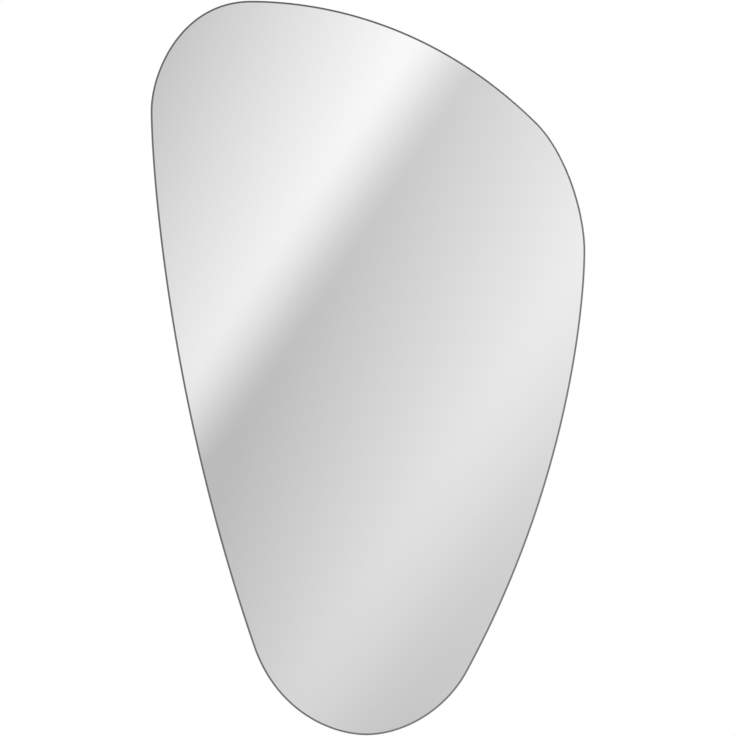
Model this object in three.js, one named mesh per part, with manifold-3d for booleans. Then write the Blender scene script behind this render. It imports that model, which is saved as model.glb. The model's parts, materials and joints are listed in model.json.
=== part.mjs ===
// Frameless wall mirror with a free-form outline: a pane of silvered glass with a round polished
// edge, stuck to a set-in fibreboard panel that hangs from two swinging rings.
//
// Millimetres, +Z up. The wall is the plane y = 0, the glass faces -Y, and +X is to the right for
// someone who looks into the mirror. The origin lies on the wall, midway between the tops of the
// two wall hooks.
//
// The pieces are drawn as if the mirror hung in front of the drawing board: x to the right, y up,
// and z out of the wall. One turned group at the end stands that drawing up.

import * as THREE from 'three';
import { mergeVertices } from 'three/addons/utils/BufferGeometryUtils.js';
import Module from 'manifold-3d';

const wasm = await Module();
wasm.setup();

// ---------------------------------------------------------------- driving dimensions

const GLASS_WIDTH = 592;
const GLASS_HEIGHT = 1000;

// Outline of the glass, anticlockwise about the middle of its box, in thousandths of its height:
// the knots where the curve changes its character, the heading there, and the lengths of the
// handles on either side. The outermost knots lie on the four sides of the box.
const OUTLINE_KNOTS = [
  { x: 296, y: 159, heading: 90, before: 51, after: 52 }, // right flank of the broad lobe
  { x: 229, y: 335, heading: 135.5, before: 59, after: 208 }, // upper right shoulder
  { x: -159, y: 500, heading: 180, before: 77, after: 96 }, // crown
  { x: -296, y: 350, heading: 270, before: 53, after: 56 }, // left flank of the crown
  { x: -156, y: -379, heading: 289, before: 379, after: 93 }, // left side runs into the foot
  { x: -2, y: -500, heading: 0, before: 50, after: 50 }, // tip of the foot
  { x: 135, y: -414, heading: 61.5, before: 61, after: 308 }, // right side leaves the foot
];
const OUTLINE_STEPS = 28; // straight steps in each stretch between two knots

// Layers, from the wall out to the front. All are binary fractions, so that faces really touch.
const BUMPER_HEIGHT = 8;
const BOARD_THICKNESS = 9;
const TAPE_THICKNESS = 1;
const FILM_THICKNESS = 0.25;
const COATING_THICKNESS = 0.125;
const GLASS_THICKNESS = 5;

// Glass edge: ground to a quarter round on either face, with a narrow flat between, and polished
const EDGE_RADIUS = 2.25;
const EDGE_STEPS = 3;
const COATING_MARGIN = 0.5; // from the rounding to the rim of the coating
const FILM_MARGIN = 1; // from there to the rim of the film

const BOARD_INSET = 22; // the board stays out of sight behind the glass
const BOARD_CHAMFER = 1.5;

// Foam tape and adhesive between film and board, in alternate upright runs
const TAPE_PITCH = 100;
const TAPE_WIDTH = 25;
const TAPE_MARGIN = 28; // from the rim of the board to the end of a run
const BEAD_WIDTH = 12;
const BEAD_MARGIN = 58;

// Straps: steel strip folded round the bar of the ring, its two layers screwed down together
const STRAP_WIDTH = 14;
const STRAP_THICKNESS = 1.25;
const STRAP_BAR_PLAY = 0.25;
const STRAP_LAYER_GAP = 0.125;
const STRAP_EASE_RADIUS = 4; // where the upper layer comes down onto the lower one
const STRAP_END = 8; // from the last screw to the round end
const STRAP_HOLE_PLAY = 0.5; // round the shank of a screw

// Hanging rings: wire bent to a D, its butt joint hidden in the fold of the strap
const HOOK_SPACING = 360; // between the two wall hooks
const HOOK_DROP = 300; // from the top of the glass down to the hooks
const WIRE_DIAMETER = 3;
const RING_CORNER = 2.5; // bend between the bar and a leg
const RING_SIDE_GAP = 2; // from the strap to the start of that bend
const RING_LEG = 6; // from the bar's centre line to the start of the arch
const RING_BUTT_GAP = 0.4;
const RING_REST_GAP = 0.3; // between the arch and the board it leans on
const RING_STEPS = 64;
const RING_SIDES = 10;

// Pan-head screws with a cross recess
const SCREW_DIAMETER = 3.5;
const SCREW_LENGTH = 8;
const SCREW_POINT = 2;
const SCREW_HEAD_DIAMETER = 7;
const SCREW_HEAD_HEIGHT = 2.25;
const SCREW_HEAD_RIM = 0.75; // height of the head's upright rim
const SCREW_HEAD_FLAT = 2.2; // radius of the flat on its crown
const SCREW_HEAD_STEPS = 3;
const SCREW_TURN = 37; // degrees by which each recess is turned from the one before
const SCREW_TO_FOLD = 1; // from the first head to the fold
const SCREW_TO_RING = 3.5; // from the second head to the arch of the folded-down ring
const RECESS_LENGTH = 3.6;
const RECESS_WIDTH = 0.9;
const RECESS_DEPTH = 1.4;
const PILOT_CLEARANCE = 0.3; // round the shank and under the point

// Rubber bumpers
const BUMPER_DIAMETER = 20;
const BUMPER_TIP_DIAMETER = 17;
const BUMPER_EDGE = 1;
const BUMPER_MARGIN = 38; // from the rim of the board to the bumper's centre
const BUMPER_DROP = 170; // from the top of the glass down to the upper pair
const BUMPER_RISE = 120; // from the foot of the glass up to the lower pair

// Facets of small rounds, and how far a cutter runs past what it cuts
const ARC_STEPS = 8;
const SCREW_SEGMENTS = 20;
const BUMPER_SEGMENTS = 36;
const OVERRUN = 1;
const WELD_DISTANCE = 1e-4;

// ---------------------------------------------------------------- depths from the wall

const BOARD_BACK = BUMPER_HEIGHT;
const TAPE_BACK = BOARD_BACK + BOARD_THICKNESS;
const FILM_BACK = TAPE_BACK + TAPE_THICKNESS;
const COATING_BACK = FILM_BACK + FILM_THICKNESS;
const GLASS_BACK = COATING_BACK + COATING_THICKNESS;

// ---------------------------------------------------------------- materials

function finish(color, roughness, metalness) {
  return new THREE.MeshStandardMaterial({ color, roughness, metalness });
}

const FINISHES = {
  mirror: finish(0xdfe2e1, 0.02, 1),
  silver: finish(0xe9e9e6, 0.05, 1),
  film: finish(0x9aa09f, 0.6, 0),
  board: finish(0x9c7b56, 0.85, 0),
  foam: finish(0xf0efea, 0.9, 0),
  adhesive: finish(0xcfd2cf, 0.5, 0),
  steel: finish(0xb9bcbd, 0.35, 1),
  rubber: finish(0x1d1d1e, 0.8, 0),
};

// ---------------------------------------------------------------- solids and booleans

function toManifold(geometry) {
  const bare = geometry.clone();
  bare.deleteAttribute('normal');
  bare.deleteAttribute('uv');
  const merged = mergeVertices(bare, WELD_DISTANCE);
  const vertProperties = new Float32Array(merged.attributes.position.array);
  const triVerts = new Uint32Array(merged.index.array);
  return new wasm.Manifold(new wasm.Mesh({ numProp: 3, vertProperties, triVerts }));
}

function toGeometry(manifold) {
  const mesh = manifold.getMesh();
  const geometry = new THREE.BufferGeometry();
  geometry.setAttribute('position', new THREE.BufferAttribute(mesh.vertProperties, 3));
  geometry.setIndex(new THREE.BufferAttribute(mesh.triVerts, 1));
  geometry.computeVertexNormals();
  return geometry;
}

function cutAway(geometry, cutters) {
  let solid = toManifold(geometry);
  for (const cutter of cutters) {
    solid = solid.subtract(toManifold(cutter));
  }
  return toGeometry(solid);
}

function named(name, geometry, material) {
  const mesh = new THREE.Mesh(geometry, material.clone());
  mesh.name = name;
  return mesh;
}

function extruded(shape, depth) {
  const settings = { depth, bevelEnabled: false, curveSegments: ARC_STEPS };
  return new THREE.ExtrudeGeometry(shape, settings);
}

// Turned about z: the profile's points are [radius, height along z], from low to high.
function turned(profile, segments) {
  const points = profile.map(([radius, height]) => new THREE.Vector2(radius, height));
  return new THREE.LatheGeometry(points, segments).rotateX(Math.PI / 2);
}

// ---------------------------------------------------------------- outline of the glass

// Millimetres to one unit of the knots along this axis, for a glass of this size
function knotScale(axis, size) {
  const places = OUTLINE_KNOTS.map((knot) => knot[axis]);
  return size / (Math.max(...places) - Math.min(...places));
}

function makeOutline() {
  const scaleX = knotScale('x', GLASS_WIDTH);
  const scaleY = knotScale('y', GLASS_HEIGHT);
  // The point that lies this far from a knot, along its heading
  const along = (knot, distance) => {
    const angle = THREE.MathUtils.degToRad(knot.heading);
    const x = knot.x + distance * Math.cos(angle);
    const y = knot.y + distance * Math.sin(angle);
    return [x * scaleX, y * scaleY];
  };
  const shape = new THREE.Shape();
  shape.moveTo(...along(OUTLINE_KNOTS[0], 0));
  OUTLINE_KNOTS.forEach((knot, i) => {
    const next = OUTLINE_KNOTS[(i + 1) % OUTLINE_KNOTS.length];
    const leaving = along(knot, knot.after);
    const arriving = along(next, -next.before);
    shape.bezierCurveTo(...leaving, ...arriving, ...along(next, 0));
  });
  const points = shape.getPoints(OUTLINE_STEPS);
  points.pop(); // the last point repeats the first
  return points;
}

// The outline moved inwards along its normals
function insetOutline(outline, inset) {
  return outline.map((point, i) => {
    const before = outline.at(i - 1);
    const after = outline[(i + 1) % outline.length];
    const along = after.clone().sub(before).normalize();
    return new THREE.Vector2(point.x - along.y * inset, point.y + along.x * inset);
  });
}

// Lowest and highest place where the outline crosses the line on which `axis` has this value
function chordAcross(outline, axis, value) {
  const other = axis === 'x' ? 'y' : 'x';
  const crossings = [];
  outline.forEach((a, i) => {
    const b = outline[(i + 1) % outline.length];
    if ((a[axis] < value) !== (b[axis] < value)) {
      const share = (value - a[axis]) / (b[axis] - a[axis]);
      crossings.push(a[other] + share * (b[other] - a[other]));
    }
  });
  return [Math.min(...crossings), Math.max(...crossings)];
}

function centroidX(outline) {
  let doubleArea = 0;
  let moment = 0;
  outline.forEach((a, i) => {
    const b = outline[(i + 1) % outline.length];
    const cross = a.x * b.y - b.x * a.y;
    doubleArea += cross;
    moment += (a.x + b.x) * cross;
  });
  return moment / (3 * doubleArea);
}

const OUTLINE = makeOutline();
const BOARD_OUTLINE = insetOutline(OUTLINE, BOARD_INSET);
const BALANCE_X = centroidX(OUTLINE); // the rings hang on either side of the centre of mass

// ---------------------------------------------------------------- glass and its layers

// The pane is extruded with a rounding on both faces, whose widest ring is the outline itself.
function makeGlass() {
  const pane = new THREE.ExtrudeGeometry(new THREE.Shape(OUTLINE), {
    depth: GLASS_THICKNESS - 2 * EDGE_RADIUS,
    bevelThickness: EDGE_RADIUS,
    bevelSize: EDGE_RADIUS,
    bevelOffset: -EDGE_RADIUS,
    bevelSegments: EDGE_STEPS,
  });
  const glass = named('mirror_glass', pane, FINISHES.mirror);
  glass.position.z = GLASS_BACK + EDGE_RADIUS;
  return glass;
}

const COATING_INSET = EDGE_RADIUS + COATING_MARGIN;

function makeCoating() {
  const shape = new THREE.Shape(insetOutline(OUTLINE, COATING_INSET));
  const coating = named('silver_coating', extruded(shape, COATING_THICKNESS), FINISHES.silver);
  coating.position.z = COATING_BACK;
  return coating;
}

function makeFilm() {
  const shape = new THREE.Shape(insetOutline(OUTLINE, COATING_INSET + FILM_MARGIN));
  const film = named('safety_film', extruded(shape, FILM_THICKNESS), FINISHES.film);
  film.position.z = FILM_BACK;
  return film;
}

// ---------------------------------------------------------------- tape and adhesive

// As many tapes as the board has room for, side by side
const BOARD_WIDTH = GLASS_WIDTH - 2 * BOARD_INSET;
const TAPE_COUNT = 1 + Math.floor((BOARD_WIDTH - 2 * TAPE_MARGIN - TAPE_WIDTH) / TAPE_PITCH);

// Ends of an upright run of this width at x, kept inside the board's rim at both of its corners
function runEnds(x, width, margin) {
  const left = chordAcross(BOARD_OUTLINE, 'x', x - width / 2);
  const right = chordAcross(BOARD_OUTLINE, 'x', x + width / 2);
  return [Math.max(left[0], right[0]) + margin, Math.min(left[1], right[1]) - margin];
}

function makeTapes() {
  const tapes = [];
  for (let i = 0; i < TAPE_COUNT; i += 1) {
    const x = (i - (TAPE_COUNT - 1) / 2) * TAPE_PITCH;
    const [low, high] = runEnds(x, TAPE_WIDTH, TAPE_MARGIN);
    const strip = new THREE.BoxGeometry(TAPE_WIDTH, high - low, TAPE_THICKNESS);
    const tape = named(`foam_tape_${i + 1}`, strip, FINISHES.foam);
    tape.position.set(x, (low + high) / 2, TAPE_BACK + TAPE_THICKNESS / 2);
    tapes.push(tape);
  }
  return tapes;
}

// Beads pressed flat to the tape's thickness, with round ends, one between each two tapes
function makeBeads() {
  const beads = [];
  const radius = BEAD_WIDTH / 2;
  for (let i = 0; i < TAPE_COUNT - 1; i += 1) {
    const x = (i - (TAPE_COUNT - 2) / 2) * TAPE_PITCH;
    const [low, high] = runEnds(x, BEAD_WIDTH, BEAD_MARGIN);
    const shape = new THREE.Shape();
    shape.absarc(0, high - radius, radius, 0, Math.PI);
    shape.absarc(0, low + radius, radius, Math.PI, 2 * Math.PI);
    const run = extruded(shape, TAPE_THICKNESS);
    const bead = named(`adhesive_bead_${i + 1}`, run, FINISHES.adhesive);
    bead.position.set(x, 0, TAPE_BACK);
    beads.push(bead);
  }
  return beads;
}

// ---------------------------------------------------------------- hanging rings

const BAR_STANDOFF = WIRE_DIAMETER / 2 + STRAP_BAR_PLAY + STRAP_THICKNESS; // bar above the board
const RING_WIDTH = STRAP_WIDTH + 2 * (RING_SIDE_GAP + RING_CORNER); // between the legs' centres
const RING_HEIGHT = RING_LEG + RING_WIDTH / 2; // from the bar's centre to the arch's
const RING_LEAN = Math.asin((BAR_STANDOFF - WIRE_DIAMETER / 2 - RING_REST_GAP) / RING_HEIGHT);

// A hook bears on the inside of the arch, which leans over and so stands a little lower.
const HOOK_ABOVE_BAR = (RING_HEIGHT - WIRE_DIAMETER / 2) * Math.cos(RING_LEAN);
const HOOK_HEIGHT = GLASS_HEIGHT / 2 - HOOK_DROP;
const BAR_HEIGHT = HOOK_HEIGHT - HOOK_ABOVE_BAR;
const HANGERS = [
  { side: 'left', x: BALANCE_X - HOOK_SPACING / 2 },
  { side: 'right', x: BALANCE_X + HOOK_SPACING / 2 },
];

// A flat path as a curve in space, for the wire to follow
class FlatCurve extends THREE.Curve {
  constructor(path) {
    super();
    this.path = path;
  }

  getPoint(t, target = new THREE.Vector3()) {
    const point = this.path.getPointAt(t);
    return target.set(point.x, point.y, 0);
  }
}

// The ring with its bar on the x axis and its arch above, open at the butt joint in the bar
function ringWire() {
  const half = RING_WIDTH / 2;
  const path = new THREE.Path();
  path.moveTo(RING_BUTT_GAP / 2, 0);
  path.lineTo(half - RING_CORNER, 0);
  path.absarc(half - RING_CORNER, RING_CORNER, RING_CORNER, -Math.PI / 2, 0);
  path.lineTo(half, RING_LEG);
  path.absarc(0, RING_LEG, half, 0, Math.PI);
  path.lineTo(-half, RING_CORNER);
  path.absarc(RING_CORNER - half, RING_CORNER, RING_CORNER, Math.PI, 1.5 * Math.PI);
  path.lineTo(-RING_BUTT_GAP / 2, 0);
  const section = new THREE.Shape();
  section.absarc(0, 0, WIRE_DIAMETER / 2, 0, 2 * Math.PI);
  return new THREE.ExtrudeGeometry(section, {
    steps: RING_STEPS,
    curveSegments: RING_SIDES / 2,
    extrudePath: new FlatCurve(path),
  });
}

function makeRing({ side, x }) {
  const ring = named(`hanger_ring_${side}`, ringWire(), FINISHES.steel);
  ring.position.set(x, BAR_HEIGHT, BOARD_BACK - BAR_STANDOFF);
  ring.rotation.x = RING_LEAN;
  return ring;
}

// ---------------------------------------------------------------- folded straps

// Side view about the ring's bar, x down the strap and y away from the board. The strip's lower
// layer lies on the board, folds over the bar, and eases down onto itself as the upper layer.
const FOLD_RADIUS = BAR_STANDOFF - STRAP_THICKNESS / 2;
const UPPER_LAYER = STRAP_THICKNESS + STRAP_LAYER_GAP - FOLD_RADIUS;
const UPPER_FACE = UPPER_LAYER + STRAP_THICKNESS / 2;

// Centre of the easing curve, which touches both the fold and the flat upper layer
const EASE_OUT = UPPER_LAYER + STRAP_EASE_RADIUS;
const EASE_DOWN = Math.sqrt((FOLD_RADIUS + STRAP_EASE_RADIUS) ** 2 - EASE_OUT ** 2);

// The ring folds down between the two screws.
const HEAD_RADIUS = SCREW_HEAD_DIAMETER / 2;
const SCREW_PLACES = [
  EASE_DOWN + SCREW_TO_FOLD + HEAD_RADIUS,
  RING_HEIGHT + WIRE_DIAMETER / 2 + SCREW_TO_RING + HEAD_RADIUS,
];
const STRAP_LENGTH = SCREW_PLACES.at(-1) + STRAP_END;

function strapProfile() {
  const half = STRAP_THICKNESS / 2;
  const lean = Math.atan2(EASE_OUT, EASE_DOWN);
  const bottom = 1.5 * Math.PI;
  const shape = new THREE.Shape();
  shape.moveTo(STRAP_LENGTH, -FOLD_RADIUS - half);
  shape.lineTo(0, -FOLD_RADIUS - half);
  shape.absarc(0, 0, FOLD_RADIUS + half, bottom, lean, true);
  shape.absarc(EASE_DOWN, EASE_OUT, STRAP_EASE_RADIUS - half, lean + Math.PI, bottom);
  shape.lineTo(STRAP_LENGTH, UPPER_FACE);
  shape.lineTo(STRAP_LENGTH, UPPER_FACE - STRAP_THICKNESS);
  shape.lineTo(EASE_DOWN, UPPER_FACE - STRAP_THICKNESS);
  shape.absarc(EASE_DOWN, EASE_OUT, STRAP_EASE_RADIUS + half, bottom, lean + Math.PI, true);
  shape.absarc(0, 0, FOLD_RADIUS - half, lean, bottom);
  shape.lineTo(STRAP_LENGTH, half - FOLD_RADIUS);
  return shape;
}

// Plan of the strap: x down the strap, a round end, and the two screw holes
function strapPlan() {
  const half = STRAP_WIDTH / 2;
  const foldEnd = -BAR_STANDOFF - OVERRUN;
  const shape = new THREE.Shape();
  shape.moveTo(foldEnd, -half);
  shape.lineTo(STRAP_LENGTH - half, -half);
  shape.absarc(STRAP_LENGTH - half, 0, half, -Math.PI / 2, Math.PI / 2);
  shape.lineTo(foldEnd, half);
  for (const place of SCREW_PLACES) {
    const hole = new THREE.Path();
    hole.absarc(place, 0, SCREW_DIAMETER / 2 + STRAP_HOLE_PLAY, 0, 2 * Math.PI, true);
    shape.holes.push(hole);
  }
  return shape;
}

function makeStrap({ side, x }) {
  const strip = extruded(strapProfile(), STRAP_WIDTH);
  strip.translate(0, 0, -STRAP_WIDTH / 2);
  strip.rotateX(Math.PI / 2); // the side view's y now points along z

  const reach = BAR_STANDOFF + OVERRUN;
  const plan = extruded(strapPlan(), 2 * reach).translate(0, 0, -reach);

  const folded = toGeometry(toManifold(strip).intersect(toManifold(plan)));
  folded.rotateZ(-Math.PI / 2); // down the strap is down the mirror
  folded.rotateY(Math.PI); // away from the board is towards the wall
  const strap = named(`hanger_strap_${side}`, folded, FINISHES.steel);
  strap.position.set(x, BAR_HEIGHT, BOARD_BACK - BAR_STANDOFF);
  return strap;
}

// ---------------------------------------------------------------- screws

const SCREW_SEATS = HANGERS.flatMap(({ x }) =>
  SCREW_PLACES.map((place) => ({ x, y: BAR_HEIGHT - place })),
);
const SCREW_SEAT_DEPTH = BOARD_BACK - BAR_STANDOFF - UPPER_FACE; // underside of the heads

// A screw with the underside of its head on z = 0 and its point towards +z
function screwBody() {
  const shank = SCREW_DIAMETER / 2;
  const profile = [[0, -SCREW_HEAD_HEIGHT]];
  for (let i = SCREW_HEAD_STEPS; i >= 0; i -= 1) {
    const angle = (i / SCREW_HEAD_STEPS) * (Math.PI / 2);
    const radius = SCREW_HEAD_FLAT + (HEAD_RADIUS - SCREW_HEAD_FLAT) * Math.cos(angle);
    const rise = SCREW_HEAD_RIM + (SCREW_HEAD_HEIGHT - SCREW_HEAD_RIM) * Math.sin(angle);
    profile.push([radius, -rise]);
  }
  profile.push([HEAD_RADIUS, 0], [shank, 0], [shank, SCREW_LENGTH - SCREW_POINT]);
  profile.push([0, SCREW_LENGTH]);
  return turned(profile, SCREW_SEGMENTS);
}

function crossRecess() {
  const reach = RECESS_LENGTH / 2;
  const half = RECESS_WIDTH / 2;
  const arm = [[reach, -half], [reach, half], [half, half]];
  const corners = [];
  for (let quarter = 0; quarter < 4; quarter += 1) {
    const turn = quarter * (Math.PI / 2);
    corners.push(...arm.map(([x, y]) => new THREE.Vector2(x, y).rotateAround({ x: 0, y: 0 }, turn)));
  }
  const cutter = extruded(new THREE.Shape(corners), RECESS_DEPTH + OVERRUN);
  return cutter.translate(0, 0, -SCREW_HEAD_HEIGHT - OVERRUN);
}

function makeScrews() {
  const body = cutAway(screwBody(), [crossRecess()]);
  return SCREW_SEATS.map(({ x, y }, i) => {
    const screw = named(`hanger_screw_${i + 1}`, body.clone(), FINISHES.steel);
    screw.position.set(x, y, SCREW_SEAT_DEPTH);
    screw.rotation.z = THREE.MathUtils.degToRad(i * SCREW_TURN);
    return screw;
  });
}

// ---------------------------------------------------------------- back board and bumpers

// Blind hole for a screw, from behind the board to a little past the screw's point
function pilotHole({ x, y }) {
  const radius = SCREW_DIAMETER / 2 + PILOT_CLEARANCE;
  const tip = SCREW_SEAT_DEPTH + SCREW_LENGTH + PILOT_CLEARANCE;
  const mouth = BOARD_BACK - OVERRUN;
  const profile = [[0, mouth], [radius, mouth], [radius, tip - SCREW_POINT], [0, tip]];
  return turned(profile, SCREW_SEGMENTS).translate(x, y, 0);
}

function makeBoard() {
  const panel = new THREE.ExtrudeGeometry(new THREE.Shape(BOARD_OUTLINE), {
    depth: BOARD_THICKNESS - 2 * BOARD_CHAMFER,
    bevelThickness: BOARD_CHAMFER,
    bevelSize: BOARD_CHAMFER,
    bevelOffset: -BOARD_CHAMFER,
    bevelSegments: 1,
  });
  panel.translate(0, 0, BOARD_BACK + BOARD_CHAMFER);
  return named('back_board', cutAway(panel, SCREW_SEATS.map(pilotHole)), FINISHES.board);
}

function makeBumpers() {
  const tip = BUMPER_TIP_DIAMETER / 2;
  const profile = [
    [0, 0],
    [tip - BUMPER_EDGE, 0],
    [tip, BUMPER_EDGE],
    [BUMPER_DIAMETER / 2, BUMPER_HEIGHT],
    [0, BUMPER_HEIGHT],
  ];
  const levels = [GLASS_HEIGHT / 2 - BUMPER_DROP, BUMPER_RISE - GLASS_HEIGHT / 2];
  const places = levels.flatMap((y) => {
    const [left, right] = chordAcross(BOARD_OUTLINE, 'y', y);
    return [{ x: left + BUMPER_MARGIN, y }, { x: right - BUMPER_MARGIN, y }];
  });
  return places.map(({ x, y }, i) => {
    const bumper = named(`wall_bumper_${i + 1}`, turned(profile, BUMPER_SEGMENTS), FINISHES.rubber);
    bumper.position.set(x, y, 0);
    return bumper;
  });
}

// ---------------------------------------------------------------- assembly

const drawing = new THREE.Group();
drawing.position.set(-BALANCE_X, -HOOK_HEIGHT, 0); // the hooks' middle becomes the origin
drawing.add(
  makeGlass(),
  makeCoating(),
  makeFilm(),
  ...makeTapes(),
  ...makeBeads(),
  makeBoard(),
  ...HANGERS.map(makeStrap),
  ...HANGERS.map(makeRing),
  ...makeScrews(),
  ...makeBumpers(),
);

const mirror = new THREE.Group();
mirror.name = 'irregular_mirror';
mirror.add(drawing);
mirror.rotation.x = Math.PI / 2; // up the drawing is +Z, and out of the wall is -Y

export default mirror;
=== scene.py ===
"""Frameless wall mirror with a free-form outline: its finishes, fine pieces and studio.

Everything is in metres in the frame's own axes: the wall is the plane y = 0, the glass faces -Y,
+X is to the right for someone who looks into the mirror, and +Z is up. Sizes are written in
millimetres as on a drawing, times MM.
"""

from __future__ import annotations

import json
import logging
import math
from collections.abc import Iterable
from dataclasses import dataclass
from enum import Enum

import bmesh
import bpy
from mathutils import Matrix, Vector


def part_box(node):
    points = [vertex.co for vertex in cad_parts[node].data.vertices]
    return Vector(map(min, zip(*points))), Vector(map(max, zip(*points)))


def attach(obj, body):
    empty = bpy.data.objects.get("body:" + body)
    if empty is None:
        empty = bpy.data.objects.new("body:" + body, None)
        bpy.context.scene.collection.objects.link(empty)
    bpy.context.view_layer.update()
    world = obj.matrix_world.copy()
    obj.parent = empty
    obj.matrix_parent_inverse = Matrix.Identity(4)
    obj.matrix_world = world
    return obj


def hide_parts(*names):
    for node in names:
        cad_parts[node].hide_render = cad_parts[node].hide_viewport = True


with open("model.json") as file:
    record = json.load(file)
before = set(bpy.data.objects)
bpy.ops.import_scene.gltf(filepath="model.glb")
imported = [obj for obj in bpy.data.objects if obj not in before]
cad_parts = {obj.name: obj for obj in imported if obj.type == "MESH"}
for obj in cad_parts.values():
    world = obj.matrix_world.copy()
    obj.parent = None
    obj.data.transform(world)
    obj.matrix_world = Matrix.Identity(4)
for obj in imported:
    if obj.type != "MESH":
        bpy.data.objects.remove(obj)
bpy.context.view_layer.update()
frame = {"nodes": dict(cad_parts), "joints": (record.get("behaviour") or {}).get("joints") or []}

LOG = logging.getLogger("wall_mirror")
MM = 0.001

X_AXIS = Vector((1, 0, 0))
Y_AXIS = Vector((0, 1, 0))
Z_AXIS = Vector((0, 0, 1))
QUARTER_TURN = math.radians(90)
TOUCHING = 0.001 * MM  # vertices closer than this are one
ROUND_BELOW = math.radians(35)  # edges that turn less than this are shaded as round
BREAK_ABOVE = math.radians(40)  # edges that turn more than this are broken
BREAK_STEPS = 2  # facets across a broken edge
ROUNDING_STEPS = 6  # facets across a rounded corner of a spun piece

Tones = tuple[tuple[float, str], ...]  # places on a scale from 0 to 1, and their sRGB colours


# ---------------------------------------------------------------- meshes


def new_piece(name: str, shape: bmesh.types.BMesh) -> bpy.types.Object:
    """Turn a finished bmesh into an object at the origin.

    Args:
        name: name of the piece.
        shape: its mesh, in place; it is freed.

    Returns:
        The new object, linked to the scene.
    """
    mesh = bpy.data.meshes.new(name)
    shape.to_mesh(mesh)
    shape.free()
    piece = bpy.data.objects.new(name, mesh)
    bpy.context.scene.collection.objects.link(piece)
    return piece


def rectangle(width: float, depth: float) -> bmesh.types.BMesh:
    """Start a bmesh with one rectangle, level and about the origin.

    Args:
        width: its size along X.
        depth: its size along Y.

    Returns:
        The bmesh.
    """
    shape = bmesh.new()
    bmesh.ops.create_grid(shape, x_segments=1, y_segments=1, size=0.5)
    bmesh.ops.scale(shape, verts=shape.verts, vec=Vector((width, depth, 1)))
    return shape


def shift(shape: bmesh.types.BMesh, step: Vector) -> None:
    """Move a whole shape by a step."""
    bmesh.ops.translate(shape, verts=shape.verts, vec=step)


def rotate(shape: bmesh.types.BMesh, angle: float, axis: Vector) -> None:
    """Turn a whole shape about an axis through the origin, right-handed."""
    bmesh.ops.rotate(shape, verts=shape.verts, matrix=Matrix.Rotation(angle, 3, axis))


def only(kind: type, parts: Iterable[object]) -> list[object]:
    """Pick the vertices, or the faces, out of what an operator returns."""
    return [part for part in parts if isinstance(part, kind)]


def close_up(shape: bmesh.types.BMesh) -> None:
    """Merge touching vertices and point all faces outwards."""
    bmesh.ops.remove_doubles(shape, verts=shape.verts, dist=TOUCHING)
    bmesh.ops.recalc_face_normals(shape, faces=shape.faces)


def settle(piece: bpy.types.Object) -> None:
    """Apply a piece's modifiers to its mesh.

    Args:
        piece: the piece, which has none left afterwards.
    """
    bpy.context.view_layer.update()
    evaluated = piece.evaluated_get(bpy.context.evaluated_depsgraph_get())
    mesh = bpy.data.meshes.new_from_object(evaluated)
    piece.modifiers.clear()
    piece.data = mesh


def cut(piece: bpy.types.Object, cutters: list[bpy.types.Object]) -> None:
    """Cut closed bodies out of a piece.

    Args:
        piece: what is cut.
        cutters: the bodies taken away, which are deleted afterwards.
    """
    for cutter in cutters:
        modifier = piece.modifiers.new(cutter.name, "BOOLEAN")
        modifier.operation = "DIFFERENCE"
        modifier.solver = "EXACT"
        modifier.object = cutter
    settle(piece)
    for cutter in cutters:
        bpy.data.objects.remove(cutter)


def shade_round(piece: bpy.types.Object) -> None:
    """Shade what is round as round."""
    piece.data.shade_smooth()
    piece.data.set_sharp_from_angle(angle=ROUND_BELOW)


def soften(piece: bpy.types.Object, width: float) -> None:
    """Break a piece's sharp edges, and shade what is round as round.

    Args:
        piece: what is softened.
        width: how far the softening reaches from an edge.
    """
    bevel = piece.modifiers.new("broken_edges", "BEVEL")
    bevel.width = width
    bevel.segments = BREAK_STEPS
    bevel.limit_method = "ANGLE"
    bevel.angle_limit = BREAK_ABOVE
    settle(piece)
    shade_round(piece)


def spun_profile(
    middle: Vector, corners: list[tuple[float, float]], rounded: dict[int, float], steps: int
) -> bmesh.types.BMesh:
    """Spin a half section into a closed body about an axis along Y.

    Args:
        middle: a point on the axis.
        corners: radius of each corner and its place along Y, from the axis back to the axis.
        rounded: by the corner's number, how far its rounding reaches.
        steps: facets round the axis.

    Returns:
        The body.
    """
    shape = bmesh.new()
    verts = [shape.verts.new((radius, depth, 0)) for radius, depth in corners]
    for low, high in zip(verts, verts[1:]):
        shape.edges.new((low, high))
    for number, reach in rounded.items():
        bmesh.ops.bevel(
            shape,
            geom=[verts[number]],
            offset=reach,
            offset_type="OFFSET",
            segments=ROUNDING_STEPS,
            profile=0.5,
            affect="VERTICES",
            material=-1,
        )
    bmesh.ops.spin(
        shape,
        geom=shape.verts[:] + shape.edges[:],
        cent=(0, 0, 0),
        axis=Y_AXIS,
        angle=math.tau,
        steps=steps,
        use_merge=True,
    )
    close_up(shape)
    shift(shape, Vector((middle.x, 0, middle.z)))
    return shape


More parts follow.
